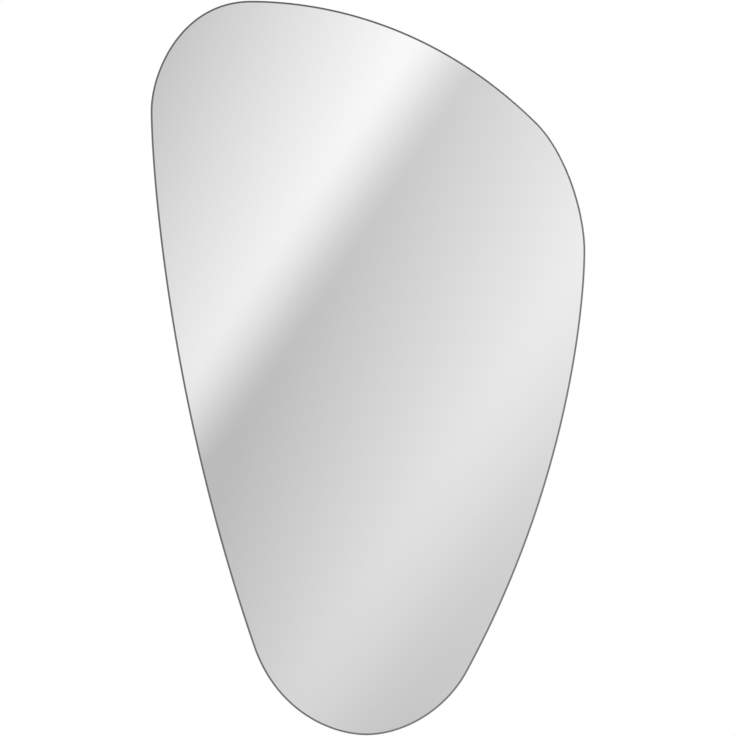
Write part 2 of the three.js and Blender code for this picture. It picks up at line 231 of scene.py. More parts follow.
class BentBar:
    """A bar of constant section, made longer and bent at its free end as a bender does it."""

    def __init__(self, shape: bmesh.types.BMesh) -> None:
        """Start from a bmesh that holds one face, the section."""
        self.shape = shape
        self.end = shape.faces[:]

    def run(self, step: Vector) -> None:
        """Add a straight stretch.

        Args:
            step: from the present end to the new one.
        """
        grown = bmesh.ops.extrude_face_region(self.shape, geom=self.end)["geom"]
        bmesh.ops.translate(self.shape, verts=only(bmesh.types.BMVert, grown), vec=step)
        self.end = only(bmesh.types.BMFace, grown)

    def bend(self, centre: Vector, axis: Vector, angle: float, steps: int) -> None:
        """Add a bend.

        Args:
            centre: a point on the bend's axis.
            axis: direction of that axis.
            angle: how far it turns, right-handed about the axis.
            steps: facets along it.
        """
        last = bmesh.ops.spin(
            self.shape, geom=self.end, cent=centre, axis=axis, angle=angle, steps=steps
        )["geom_last"]
        self.end = only(bmesh.types.BMFace, last)


# ---------------------------------------------------------------- shader nodes


def srgb(code: str) -> tuple[float, float, float, float]:
    """Turn an sRGB colour into the linear colour that a shader takes.

    Args:
        code: its hex digits, such as "9c7b56".

    Returns:
        Red, green, blue and a full alpha.
    """
    channels = [int(code[i : i + 2], 16) / 255 for i in (0, 2, 4)]
    linear = [c / 12.92 if c <= 0.04045 else ((c + 0.055) / 1.055) ** 2.4 for c in channels]
    return (*linear, 1.0)


def add_node(
    tree: bpy.types.NodeTree,
    kind: str,
    inputs: dict[str | int, object] | None = None,
    stops: Tones = (),
    **settings: object,
) -> bpy.types.Node:
    """Add a node with its settings and links.

    Args:
        tree: where it goes.
        kind: its type, without the leading "ShaderNode".
        inputs: by name or number, a value, or the node or output socket that feeds it; of a node
            it is the first output in use.
        stops: for a colour ramp, its places and colours.
        settings: the node's own options.

    Returns:
        The node.
    """
    node = tree.nodes.new("ShaderNode" + kind)
    for option, value in settings.items():
        setattr(node, option, value)
    for socket, value in (inputs or {}).items():
        if isinstance(value, bpy.types.Node):
            value = next(output for output in value.outputs if output.enabled)
        if isinstance(value, bpy.types.NodeSocket):
            tree.links.new(value, node.inputs[socket])
        else:
            node.inputs[socket].default_value = value
    for number, (place, code) in enumerate(stops):
        elements = node.color_ramp.elements
        element = elements[number] if number < len(elements) else elements.new(place)
        element.position = place
        element.color = srgb(code)
    return node


def per_metre(size: float) -> float:
    """Scale of a pattern whose features are this size, in metres."""
    return 1 / size


def bands_per_metre(spacing: float) -> float:
    """Scale of a wave texture whose bands are this far apart, in metres."""
    return per_metre(spacing) * math.tau / 20  # at a scale of 1 there are 20 radians to a metre


def clouds(
    tree: bpy.types.NodeTree, size: float, tones: Tones, detail: float = 3.0
) -> tuple[bpy.types.Node, bpy.types.Node]:
    """Add soft clouds that are fixed to the piece.

    Args:
        tree: where they go.
        size: of one cloud.
        tones: their colours, by height.
        detail: how many finer layers they hold.

    Returns:
        The nodes that give their height and their colour.
    """
    place = add_node(tree, "TexCoord").outputs["Object"]
    height = add_node(
        tree, "TexNoise", {"Vector": place, "Scale": per_metre(size), "Detail": detail}
    )
    return height, add_node(tree, "ValToRGB", {"Fac": height}, stops=tones)


# ---------------------------------------------------------------- finishes


@dataclass(frozen=True)
class Finish:
    """A material and how its surface was made."""

    name: str

    def material(self) -> bpy.types.Material:
        """Make the material.

        Returns:
            The material, with its nodes.
        """
        material = bpy.data.materials.new(self.name)
        material.use_nodes = True
        tree = material.node_tree
        tree.nodes.clear()
        add_node(tree, "OutputMaterial", {"Surface": self.shader(tree)})
        return material

    def shader(self, tree: bpy.types.NodeTree) -> bpy.types.Node:
        """Add the nodes, and return the last one, a shader."""
        raise NotImplementedError


@dataclass(frozen=True)
class Look:
    """What the shader of a surface is fed with."""

    inputs: dict[str, object]
    relief: bpy.types.Node | None = None  # height from 0 to 1


@dataclass(frozen=True)
class Surface(Finish):
    """A finish of the part itself, which may have a fine relief."""

    relief_depth: float = 0.0
    relief_strength: float = 0.4  # how much of the relief shows

    def shader(self, tree: bpy.types.NodeTree) -> bpy.types.Node:
        """Add the nodes of the look, its relief and its shader.

        Args:
            tree: where they go.

        Returns:
            The shader.
        """
        look = self.look(tree)
        if look.relief is None:
            return add_node(tree, "BsdfPrincipled", look.inputs)
        depths = {"Distance": self.relief_depth, "Strength": self.relief_strength}
        relief = add_node(tree, "Bump", {"Height": look.relief} | depths)
        return add_node(tree, "BsdfPrincipled", look.inputs | {"Normal": relief})

    def look(self, tree: bpy.types.NodeTree) -> Look:
        """Add the nodes of the colour, the gloss and the relief."""
        raise NotImplementedError


@dataclass(frozen=True)
class SilveredGlass(Surface):
    """Silvered soda-lime float glass, seen from the front.

    Low-iron glass reflects about nine tenths of the light and hardly tints it. Its faces follow the
    float's long, hardly visible waves.
    """

    name: str = "silvered_float_glass"
    tint: str = "f2f2f2"
    roughness: float = 0.01
    wave_length: float = 160 * MM
    relief_depth: float = 0.004 * MM
    relief_strength: float = 1.0

    def look(self, tree: bpy.types.NodeTree) -> Look:
        """Add the nodes of a clear mirror with float waves.

        Args:
            tree: where they go.

        Returns:
            The look.
        """
        place = add_node(tree, "TexCoord").outputs["Object"]
        scale = per_metre(self.wave_length)
        waves = add_node(tree, "TexNoise", {"Vector": place, "Scale": scale, "Detail": 1.0})
        tint = srgb(self.tint)
        return Look({"Base Color": tint, "Metallic": 1.0, "Roughness": self.roughness}, waves)


@dataclass(frozen=True)
class PolishedGlassEdge(Surface):
    """Edge of the same glass, ground round and polished.

    One looks along the inside of the pane there, but the edge is drawn opaque. Its dark, glossy
    grey is partly the glass's own green-grey tint and partly painted shade, and its lighter, a
    little green core halfway through the glass is a painted reflection of light carried inside the
    pane. It has faint marks left by the polishing wheel.
    """

    name: str = "polished_glass_edge"
    # painted light: the lighter core stands in for light carried inside the glass, the darker grey
    # towards either face is painted shade
    tones: Tones = ((0.0, "7f8986"), (0.75, "676867"))  # from the core towards either face
    roughness: float = 0.08
    refraction: float = 1.52  # of soda-lime glass
    middle: float = 0.0
    half_thickness: float = 2.5 * MM
    mark_spacing: float = 2.5 * MM  # coarser than real ones, so that they show
    relief_depth: float = 0.02 * MM
    relief_strength: float = 0.3

    def look(self, tree: bpy.types.NodeTree) -> Look:
        """Add the nodes of polished glass, seen edge on.

        Args:
            tree: where they go.

        Returns:
            The look.
        """
        place = add_node(tree, "TexCoord").outputs["Object"]
        depth = add_node(tree, "SeparateXYZ", {0: place}).outputs["Y"]
        off_middle = add_node(tree, "Math", {0: depth, 1: self.middle}, operation="SUBTRACT")
        distance = add_node(tree, "Math", {0: off_middle}, operation="ABSOLUTE")
        # painted light and shade across the thickness: lighter in the core, darker towards either
        # face
        share = add_node(
            tree, "Math", {0: distance, 1: self.half_thickness}, operation="DIVIDE", use_clamp=True
        )
        colour = add_node(tree, "ValToRGB", {"Fac": share}, stops=self.tones)
        scale = per_metre(self.mark_spacing)
        marks = add_node(tree, "TexNoise", {"Vector": place, "Scale": scale, "Detail": 2.0})
        inputs = {"Base Color": colour, "Roughness": self.roughness, "IOR": self.refraction}
        return Look(inputs, marks)


@dataclass(frozen=True)
class BackingPaint(Surface):
    """Grey protective paint that the silver is covered with, curtain coated and baked."""

    name: str = "mirror_backing_paint"
    tones: Tones = ((0.35, "757a7a"), (0.65, "858a8a"))
    roughness: float = 0.42
    cloud_size: float = 45 * MM

    def look(self, tree: bpy.types.NodeTree) -> Look:
        """Add the nodes of even grey paint with faint clouds."""
        _, colour = clouds(tree, self.cloud_size, self.tones)
        return Look({"Base Color": colour, "Roughness": self.roughness})


@dataclass(frozen=True)
class SafetyFilm(Surface):
    """Woven polypropylene film, bonded over the backing paint: pale flat threads over grey."""

    name: str = "woven_safety_film"
    tones: Tones = ((0.35, "959b99"), (0.85, "b1b7b5"))  # from the gaps to the threads
    roughness: float = 0.5
    thread_spacing: float = 2.8 * MM  # real threads lie 1 to 2 mm apart, too close to show
    relief_depth: float = 0.08 * MM
    relief_strength: float = 0.5

    def look(self, tree: bpy.types.NodeTree) -> Look:
        """Add the nodes of a square weave.

        Args:
            tree: where they go.

        Returns:
            The look.
        """
        place = add_node(tree, "TexCoord").outputs["Object"]
        across, upwards = (
            add_node(
                tree,
                "TexWave",
                {"Vector": place, "Scale": bands_per_metre(self.thread_spacing)},
                bands_direction=direction,
                wave_profile="SIN",
            ).outputs["Fac"]
            for direction in ("X", "Z")
        )
        weave = add_node(tree, "Math", {0: across, 1: upwards}, operation="MAXIMUM")
        colour = add_node(tree, "ValToRGB", {"Fac": weave}, stops=self.tones)
        return Look({"Base Color": colour, "Roughness": self.roughness}, weave)


@dataclass(frozen=True)
class RawFibreboard(Surface):
    """Sanded medium-density fibreboard, unpainted.

    The pressed faces are a warm light brown with darker fibres and a few bark specks. The routed
    edge is darker and woolly, because it cuts through the looser core.
    """

    name: str = "raw_fibreboard"
    tones: Tones = ((0.42, "a07c57"), (0.56, "b28f69"), (0.72, "c0a07b"))  # by fibre height
    tufts: Tones = ((0.33, "ebe6e0"), (0.66, "ffffff"))
    tuft_size: float = 5 * MM
    patches: Tones = ((0.33, "f1eeea"), (0.66, "ffffff"))
    patch_size: float = 70 * MM
    speck: str = "745639"
    speck_size: float = 1.3 * MM
    speck_limits: tuple[float, float] = (0.73, 0.78)  # noise heights where specks start, are full
    routed: str = "876545"
    routed_share: float = 0.55  # how far the routed edge goes to its own colour
    face_limits: tuple[float, float] = (0.85, 0.95)  # part of the normal across the board
    fibre_width: float = 0.45 * MM  # real fibres are a fifth of this, too fine to show
    fibre_length: float = 2.0 * MM
    fibre_turns: tuple[float, ...] = (15, 78, 139)  # degrees from +X towards +Z, by layer
    core_layer: float = 1.2 * MM
    roughness: float = 0.82
    gloss: float = 0.25
    relief_depth: float = 0.15 * MM
    relief_strength: float = 0.35

    def fibres(self, tree: bpy.types.NodeTree, turn: float) -> bpy.types.Node:
        """Add one layer of fibres that lie in the board's plane.

        Args:
            tree: where it goes.
            turn: direction of the fibres, in degrees from +X towards +Z.

        Returns:
            The node that gives the layer's height, about 0 to 1.
        """
        place = add_node(tree, "TexCoord").outputs["Object"]
        rotation = (0, math.radians(turn), 0)
        turned = add_node(tree, "Mapping", {"Vector": place, "Rotation": rotation})
        sizes = (self.fibre_length, self.core_layer, self.fibre_width)
        scale = tuple(per_metre(size) for size in sizes)
        squeezed = add_node(tree, "Mapping", {"Vector": turned, "Scale": scale})
        return add_node(tree, "TexNoise", {"Vector": squeezed, "Scale": 1.0, "Detail": 3.0})

    def look(self, tree: bpy.types.NodeTree) -> Look:
        """Add the nodes of the pressed faces and the routed edge.

        Args:
            tree: where they go.

        Returns:
            The look.
        """
        height, *others = (self.fibres(tree, turn) for turn in self.fibre_turns)
        for layer in others:
            height = add_node(tree, "Math", {0: height, 1: layer}, operation="MAXIMUM")
        face = add_node(tree, "ValToRGB", {"Fac": height}, stops=self.tones)
        for size, tones in ((self.tuft_size, self.tufts), (self.patch_size, self.patches)):
            _, tint = clouds(tree, size, tones, detail=2.0)
            face = add_node(
                tree, "Mix", {0: 1.0, 6: face, 7: tint}, data_type="RGBA", blend_type="MULTIPLY"
            )

        place = add_node(tree, "TexCoord").outputs["Object"]
        scale = per_metre(self.speck_size)
        grains = add_node(tree, "TexNoise", {"Vector": place, "Scale": scale, "Detail": 1.0})
        normal = add_node(tree, "NewGeometry").outputs["True Normal"]
        across = add_node(tree, "SeparateXYZ", {0: normal}).outputs["Y"]
        facing = add_node(tree, "Math", {0: across}, operation="ABSOLUTE")
        is_speck, is_face = (
            add_node(tree, "MapRange", {"Value": value, "From Min": low, "From Max": high})
            for value, (low, high) in ((grains, self.speck_limits), (facing, self.face_limits))
        )
        face = add_node(tree, "Mix", {0: is_speck, 6: face, 7: srgb(self.speck)}, data_type="RGBA")
        darker = {0: self.routed_share, 6: face, 7: srgb(self.routed)}
        edge = add_node(tree, "Mix", darker, data_type="RGBA")
        colour = add_node(tree, "Mix", {0: is_face, 6: edge, 7: face}, data_type="RGBA")
        inputs = {"Base Color": colour, "Roughness": self.roughness}
        return Look(inputs | {"Specular IOR Level": self.gloss}, height)


@dataclass(frozen=True)
class BrightZinc(Surface):
    """Steel with bright electroplated zinc and a clear, slightly blue passivation.

    Barrel plating leaves small clouds in the gloss and fine scratches from the other parts.
    """

    name: str = "bright_zinc_plate"
    tones: Tones = ((0.35, "aeb4b9"), (0.65, "cdd2d5"))
    gloss: tuple[float, float] = (0.40, 0.22)  # roughness of the dark and of the light clouds
    cloud_size: float = 5 * MM
    scratch_length: float = 6 * MM
    scratch_width: float = 0.35 * MM
    scratch_turn: float = math.radians(24)
    relief_depth: float = 0.02 * MM
    relief_strength: float = 0.3

    def look(self, tree: bpy.types.NodeTree) -> Look:
        """Add the nodes of plated steel.

        Args:
            tree: where they go.

        Returns:
            The look.
        """
        height, colour = clouds(tree, self.cloud_size, self.tones)
        (dark, _), (light, _) = self.tones
        dull, smooth = self.gloss
        reach = {"From Min": dark, "From Max": light, "To Min": dull, "To Max": smooth}
        roughness = add_node(tree, "MapRange", {"Value": height} | reach)
        sizes = (self.scratch_length, self.scratch_width, self.scratch_width)
        drawn_out = {
            "Vector": add_node(tree, "TexCoord").outputs["Object"],
            "Rotation": (0, self.scratch_turn, 0),
            "Scale": tuple(per_metre(size) for size in sizes),
        }
        along = add_node(tree, "Mapping", drawn_out)
        scratches = add_node(tree, "TexNoise", {"Vector": along, "Scale": 1.0, "Detail": 2.0})
        return Look({"Base Color": colour, "Metallic": 1.0, "Roughness": roughness}, scratches)


@dataclass(frozen=True)
class MouldedRubber(Surface):
    """Black styrene rubber, moulded with a fine matt grain and a trace of bloom."""

    name: str = "moulded_rubber"
    tones: Tones = ((0.4, "19191a"), (0.75, "2a2a2b"))
    bloom_size: float = 7 * MM
    grain: float = 0.9 * MM
    roughness: float = 0.72
    relief_depth: float = 0.05 * MM

    def look(self, tree: bpy.types.NodeTree) -> Look:
        """Add the nodes of grained black rubber.

        Args:
            tree: where they go.

        Returns:
            The look.
        """
        _, colour = clouds(tree, self.bloom_size, self.tones)
        place = add_node(tree, "TexCoord").outputs["Object"]
        scale = per_metre(self.grain)
        grain = add_node(tree, "TexNoise", {"Vector": place, "Scale": scale, "Detail": 2.0})
        return Look({"Base Color": colour, "Roughness": self.roughness}, grain)


@dataclass(frozen=True)
class FoamTape(Surface):
    """White closed-cell polyethylene foam, whose cut side shows its cells, with painted shade in
    their hollows.
    """

    name: str = "polyethylene_foam_tape"
    # painted shade: each cut cell is darker in its middle, where the relief dips, standing in for
    # shade in its hollow
    tones: Tones = ((0.1, "d9d8d1"), (0.6, "f2f1ec"))  # from a cell's middle to its wall
    cell_size: float = 0.8 * MM
    roughness: float = 0.85
    relief_depth: float = 0.1 * MM

    def look(self, tree: bpy.types.NodeTree) -> Look:
        """Add the nodes of fine foam.

        Args:
            tree: where they go.

        Returns:
            The look.
        """
        place = add_node(tree, "TexCoord").outputs["Object"]
        cells = add_node(tree, "TexVoronoi", {"Vector": place, "Scale": per_metre(self.cell_size)})
        # painted shade in the cells' hollows, from the same cells that give the relief
        colour = add_node(tree, "ValToRGB", {"Fac": cells}, stops=self.tones)
        return Look({"Base Color": colour, "Roughness": self.roughness}, cells)


@dataclass(frozen=True)
class CuredAdhesive(Surface):
    """Pale grey neutral-cure mirror adhesive, satin where it was squeezed flat."""

    name: str = "cured_mirror_adhesive"
    tones: Tones = ((0.35, "c2c5c3"), (0.65, "d6d8d6"))
    ripple: float = 6 * MM
    roughness: float = 0.4
    relief_depth: float = 0.4 * MM

    def look(self, tree: bpy.types.NodeTree) -> Look:
        """Add the nodes of a rippled satin bead."""
        ripples, colour = clouds(tree, self.ripple, self.tones, detail=2.0)
        return Look({"Base Color": colour, "Roughness": self.roughness}, ripples)


def dress(piece: bpy.types.Object, *materials: bpy.types.Material) -> None:
    """Give a piece its materials, in the order of its faces' material numbers.

    Args:
        piece: a new piece, or a node of the frame, whose slots are filled again.
        materials: what its slots hold afterwards.
    """
    slots = piece.data.materials
    for number, material in enumerate(materials):
        if number < len(slots):
            slots[number] = material
        else:
            slots.append(material)


# ---------------------------------------------------------------- the glass


@dataclass(frozen=True)
class OutlineKnot:
    """A point where the outline changes its character, in thousandths of the glass's height."""

    x: float
    z: float
    heading: float  # degrees from +X towards +Z
    before: float  # length of the handle that arrives
    after: float  # length of the handle that leaves


@dataclass
class GlassPane:
    """The pane: a free-form outline, anticlockwise about its box's middle, and a round edge."""

    knots: tuple[OutlineKnot, ...] = (
        OutlineKnot(296, 159, 90, 51, 52),  # right flank of the broad lobe
        OutlineKnot(229, 335, 135.5, 59, 208),  # upper right shoulder
        OutlineKnot(-159, 500, 180, 77, 96),  # crown
        OutlineKnot(-296, 350, 270, 53, 56),  # left flank of the crown
        OutlineKnot(-156, -379, 289, 379, 93),  # left side runs into the foot
        OutlineKnot(-2, -500, 0, 50, 50),  # tip of the foot
        OutlineKnot(135, -414, 61.5, 61, 308),  # right side leaves the foot
    )
    steps: int = 96  # in each stretch between two knots
    edge_radius: float = 2.25 * MM
    edge_steps: int = 8

    def __post_init__(self) -> None:
        """Take the pane's place and size from the frame."""
        self.low, self.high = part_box("mirror_glass")
        self.middle = (self.low + self.high) / 2
        width = max(knot.x for knot in self.knots) - min(knot.x for knot in self.knots)
        height = max(knot.z for knot in self.knots) - min(knot.z for knot in self.knots)
        self.scale_x = (self.high.x - self.low.x) / width
        self.scale_z = (self.high.z - self.low.z) / height
        self.silver_inset = self.high.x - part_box("silver_coating")[1].x

    def along(self, knot: OutlineKnot, distance: float) -> Vector:
        """Find the point at some distance from a knot, along its heading.

        Args:
            knot: where the line starts.
            distance: how far along it, in the knots' own units.

        Returns:
            The point, level with the front end of the rim's widest band.
        """
        angle = math.radians(knot.heading)
        x = knot.x + distance * math.cos(angle)
        z = knot.z + distance * math.sin(angle)
        depth = self.low.y + self.edge_radius
        return Vector((self.middle.x + x * self.scale_x, depth, self.middle.z + z * self.scale_z))

    def outline(self) -> bmesh.types.BMesh:
        """Draw the outline as a curve.

        Returns:
            The outline as a bmesh of edges.
        """
        curve = bpy.data.curves.new("outline", "CURVE")
        curve.dimensions = "3D"
        spline = curve.splines.new("BEZIER")
        spline.bezier_points.add(len(self.knots) - 1)
        spline.use_cyclic_u = True
        spline.resolution_u = self.steps
        for point, knot in zip(spline.bezier_points, self.knots):
            point.handle_left_type = point.handle_right_type = "FREE"
            point.co = self.along(knot, 0)
            point.handle_left = self.along(knot, -knot.before)
            point.handle_right = self.along(knot, knot.after)
        drawn = bpy.data.objects.new("outline", curve)
        mesh = bpy.data.meshes.new_from_object(drawn)
        shape = bmesh.new()
        shape.from_mesh(mesh)
        bpy.data.objects.remove(drawn)
        return shape

    def round_over(self, shape: bmesh.types.BMesh, face: bmesh.types.BMFace) -> None:
        """Grow a quarter round from the border of a flat face, outwards along its normal.

        Args:
            shape: the pane.
            face: its front or back.
        """
        reach = depth = 0.0
        for step in range(1, self.edge_steps + 1):
            angle = QUARTER_TURN * step / self.edge_steps
            next_reach = self.edge_radius * (1 - math.cos(angle))
            next_depth = self.edge_radius * math.sin(angle)
            ring = bmesh.ops.inset_region(
                shape,
                faces=[face],
                thickness=next_reach - reach,
                depth=next_depth - depth,
                use_even_offset=True,
                use_boundary=True,
            )["faces"]
            for part in ring:
                part.smooth = True
            reach, depth = next_reach, next_depth

    def build(self, face: bpy.types.Material, edge: bpy.types.Material) -> bpy.types.Object:
        """Make the pane.

        Args:
            face: finish of its front, as far as the silver behind it reaches.
            edge: finish of its clear rim, its rounded edge and its back.

        Returns:
            The pane, in place of the frame's one.
        """
        shape = self.outline()
        bmesh.ops.contextual_create(shape, geom=shape.edges[:])
        band = self.high.y - self.low.y - 2 * self.edge_radius
        BentBar(shape).run(Y_AXIS * band)
        close_up(shape)
        for part in shape.faces:
            part.material_index = 1
            part.smooth = abs(part.normal.y) < 0.5  # all but the two flat faces
        front, back = sorted((f for f in shape.faces if not f.smooth), key=lambda f: f.normal.y)
        self.round_over(shape, front)
        self.round_over(shape, back)
        bmesh.ops.inset_region(
            shape,
            faces=[front],
            thickness=self.silver_inset - self.edge_radius,
            use_even_offset=True,
            use_boundary=True,
        )
        front.material_index = 0
        pane = new_piece("glass_pane", shape)
        dress(pane, face, edge)
        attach(pane, "mirror")
        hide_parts("mirror_glass")
        return pane


# ---------------------------------------------------------------- hangers


class Side(Enum):
    """Which of the two hangers, for someone who looks into the mirror."""

    LEFT = "left"
    RIGHT = "right"


SCREWS = {Side.LEFT: (1, 2), Side.RIGHT: (3, 4)}  # in each strap, by the frame's numbers
BUMPERS = (1, 2, 3, 4)


@dataclass
class StrapHanger:
    """A D-ring held by a folded strap, which two screws fix to the board."""

    side: Side
    wire: float = 3 * MM
    bar_standoff: float = 3 * MM  # from the board to the middle of the ring's bar
    ring_width: float = 23 * MM
    ring_leg: float = 6 * MM
    ring_corner: float = 2.5 * MM
    ring_gap: float = 0.4 * MM  # butt joint, hidden in the fold
    ring_rest_gap: float = 0.3 * MM
    strap_width: float = 14 * MM
    strap_thickness: float = 1.25 * MM
    layer_gap: float = 0.125 * MM
    ease_radius: float = 4 * MM
    end_rounding: float = 0.98  # share of the half width, so that a sliver of the end is left
    hole: float = 4.5 * MM
    broken_edge: float = 0.15 * MM
    wire_sides: int = 24
    hole_sides: int = 40
    corner_steps: int = 10
    arch_steps: int = 40
    fold_steps: int = 36
    ease_steps: int = 12
    end_steps: int = 12

    def __post_init__(self) -> None:
        """Take the hanger's place from the frame."""
        joint = next(j for j in frame["joints"] if j["child"] == f"ring_{self.side.value}")
        self.pivot = Vector(joint["pos_m"])
        self.strap_length = self.pivot.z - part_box(f"hanger_strap_{self.side.value}")[0].z

    def ring(self, plate: bpy.types.Material) -> bpy.types.Object:
        """Bend the ring from wire.

        Args:
            plate: its finish.

        Returns:
            The ring, leaning on the board as it hangs.
        """
        shape = bmesh.new()
        bmesh.ops.create_circle(
            shape, cap_ends=True, radius=self.wire / 2, segments=self.wire_sides
        )
        rotate(shape, QUARTER_TURN, Y_AXIS)
        shift(shape, X_AXIS * self.ring_gap / 2)

        half = self.ring_width / 2
        corner = self.ring_corner
        flat = X_AXIS * (half - corner - self.ring_gap / 2)
        leg = Z_AXIS * (self.ring_leg - corner)
        right = Vector((half - corner, 0, corner))
        left = Vector((corner - half, 0, corner))
        wire = BentBar(shape)
        wire.run(flat)
        wire.bend(right, -Y_AXIS, QUARTER_TURN, self.corner_steps)
        wire.run(leg)
        wire.bend(Z_AXIS * self.ring_leg, -Y_AXIS, 2 * QUARTER_TURN, self.arch_steps)
        wire.run(-leg)
        wire.bend(left, -Y_AXIS, QUARTER_TURN, self.corner_steps)
        wire.run(flat)
        close_up(shape)

        height = self.ring_leg + half
        rest = self.bar_standoff - self.wire / 2 - self.ring_rest_gap
        rotate(shape, math.asin(rest / height), X_AXIS)
        shift(shape, self.pivot)
        ring = new_piece(f"d_ring_{self.side.value}", shape)
        soften(ring, self.broken_edge)
        dress(ring, plate)
        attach(ring, f"ring_{self.side.value}")
        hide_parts(f"hanger_ring_{self.side.value}")
        return ring

    def strap(self, plate: bpy.types.Material) -> bpy.types.Object:
        """Fold the strap round the ring's bar, round its ends and punch its holes.

        Args:
            plate: its finish.

        Returns:
            The strap.
        """
        half = self.strap_thickness / 2
        fold = self.bar_standoff - half
        upper = self.strap_thickness + self.layer_gap - fold
        ease_out = upper + self.ease_radius
        ease_down = math.sqrt((fold + self.ease_radius) ** 2 - ease_out**2)
        lean = math.atan2(ease_out, ease_down)

        shape = rectangle(self.strap_width, self.strap_thickness)
        shift(shape, Vector((0, -fold, -self.strap_length)))
        strip = BentBar(shape)
        strip.run(Z_AXIS * self.strap_length)
        strip.bend(Vector((0, 0, 0)), X_AXIS, lean - 3 * QUARTER_TURN, self.fold_steps)
        eased = Vector((0, ease_out, -ease_down))
        strip.bend(eased, X_AXIS, QUARTER_TURN - lean, self.ease_steps)
        strip.run(-Z_AXIS * (self.strap_length - ease_down))
        close_up(shape)

        corners = [edge for edge in shape.edges if self.is_end_corner(edge)]
        bmesh.ops.bevel(
            shape,
            geom=corners,
            offset=self.strap_width / 2 * self.end_rounding,
            offset_type="OFFSET",
            segments=self.end_steps,
            profile=0.5,
            affect="EDGES",
            material=-1,
        )
        shift(shape, self.pivot)
        strap = new_piece(f"folded_strap_{self.side.value}", shape)
        cut(strap, [self.hole_punch(number) for number in SCREWS[self.side]])
        soften(strap, self.broken_edge)
        dress(strap, plate)
        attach(strap, "mirror")
        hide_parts(f"hanger_strap_{self.side.value}")
        return strap

    def is_end_corner(self, edge: bmesh.types.BMEdge) -> bool:
        """Tell an upright corner of the strap's free end from its other edges.

        Args:
            edge: any edge of the strap.

        Returns:
            Whether it is such a corner.
        """
        one, other = (vert.co for vert in edge.verts)
        at_end = max(one.z, other.z) < TOUCHING - self.strap_length
        return at_end and abs(one.x - other.x) < TOUCHING

    def hole_punch(self, screw: int) -> bpy.types.Object:
        """Make the cutter for one screw hole.

        Args:
            screw: the frame's number for the screw.

        Returns:
            A rod that runs through both layers.
        """
        low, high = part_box(f"hanger_screw_{screw}")
        middle = (low + high) / 2
        shape = bmesh.new()
        bmesh.ops.create_cone(
            shape,
            cap_ends=True,
            segments=self.hole_sides,
            radius1=self.hole / 2,
            radius2=self.hole / 2,
            depth=4 * self.bar_standoff,
        )
        rotate(shape, QUARTER_TURN, X_AXIS)
        shift(shape, Vector((middle.x, self.pivot.y, middle.z)))
        return new_piece("punch", shape)


@dataclass
class PanHeadScrew:
    """A short pan-head screw with a cross recess, driven through a strap into the board."""

    number: int
    shank: float = 3.5 * MM
    head: float = 7 * MM
    head_height: float = 2.25 * MM
    head_round: float = 1.4 * MM
    point: float = 2 * MM
    recess_length: float = 3.6 * MM
    recess_width: float = 0.9 * MM
    recess_depth: float = 1.4 * MM
    recess_bottom: tuple[float, float] = (0.35, 0.6)  # shares of its length and width down there
    turn: float = math.radians(37)  # of each recess from the one before
    broken_edge: float = 0.06 * MM
    sides: int = 40

    def build(self, plate: bpy.types.Material) -> bpy.types.Object:
        """Turn the screw and cut its recess.

        Args:
            plate: its finish.

        Returns:
            The screw, in place of the frame's one.
        """
        low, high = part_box(f"hanger_screw_{self.number}")
        middle = (low + high) / 2
        seat = high.y - self.head_height
        corners = [
            (0, high.y),
            (self.head / 2, high.y),
            (self.head / 2, seat),
            (self.shank / 2, seat),
            (self.shank / 2, low.y + self.point),
            (0, low.y),
        ]
        shape = spun_profile(middle, corners, {1: self.head_round}, self.sides)
        screw = new_piece(f"pan_head_screw_{self.number}", shape)
        crown = Vector((middle.x, high.y, middle.z))
        turn = (self.number - 1) * self.turn
        cut(screw, [self.recess_arm(crown, turn), self.recess_arm(crown, turn + QUARTER_TURN)])
        soften(screw, self.broken_edge)
        dress(screw, plate)
        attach(screw, "mirror")
        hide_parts(f"hanger_screw_{self.number}")
        return screw

    def recess_arm(self, crown: Vector, turn: float) -> bpy.types.Object:
        """Make the cutter for one bar of the cross.

        Args:
            crown: middle of the head's top.
            turn: direction of the bar.

        Returns:
            A wedge that narrows towards the screw's point.
        """
        shape = bmesh.new()
        bmesh.ops.create_cube(shape, size=1)
        size = Vector((self.recess_length, 2 * self.recess_depth, self.recess_width))
        bmesh.ops.scale(shape, verts=shape.verts, vec=size)
        deep = [vert for vert in shape.verts if vert.co.y < 0]
        length, width = self.recess_bottom
        bmesh.ops.scale(shape, verts=deep, vec=Vector((length, 1, width)))
        rotate(shape, turn, Y_AXIS)
        shift(shape, crown)
        return new_piece("recess", shape)


@dataclass
class WallBumper:
    """A moulded rubber foot that keeps the board off the wall."""

    number: int
    diameter: float = 20 * MM
    tip_diameter: float = 17 * MM
    tip_round: float = 1.2 * MM
    base_round: float = 0.5 * MM
    sides: int = 64

    def build(self, rubber: bpy.types.Material) -> bpy.types.Object:
        """Spin the bumper.

        Args:
            rubber: its finish.

        Returns:
            The bumper, in place of the frame's one.
        """
        low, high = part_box(f"wall_bumper_{self.number}")
        corners = [
            (0, high.y),
            (self.tip_diameter / 2, high.y),
            (self.diameter / 2, low.y),
            (0, low.y),
        ]
        rounded = {2: self.base_round, 1: self.tip_round}
        shape = spun_profile((low + high) / 2, corners, rounded, self.sides)
        bumper = new_piece(f"rubber_bumper_{self.number}", shape)
        shade_round(bumper)
        dress(bumper, rubber)
        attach(bumper, "mirror")
        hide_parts(f"wall_bumper_{self.number}")
        return bumper


# ---------------------------------------------------------------- the layers behind the glass


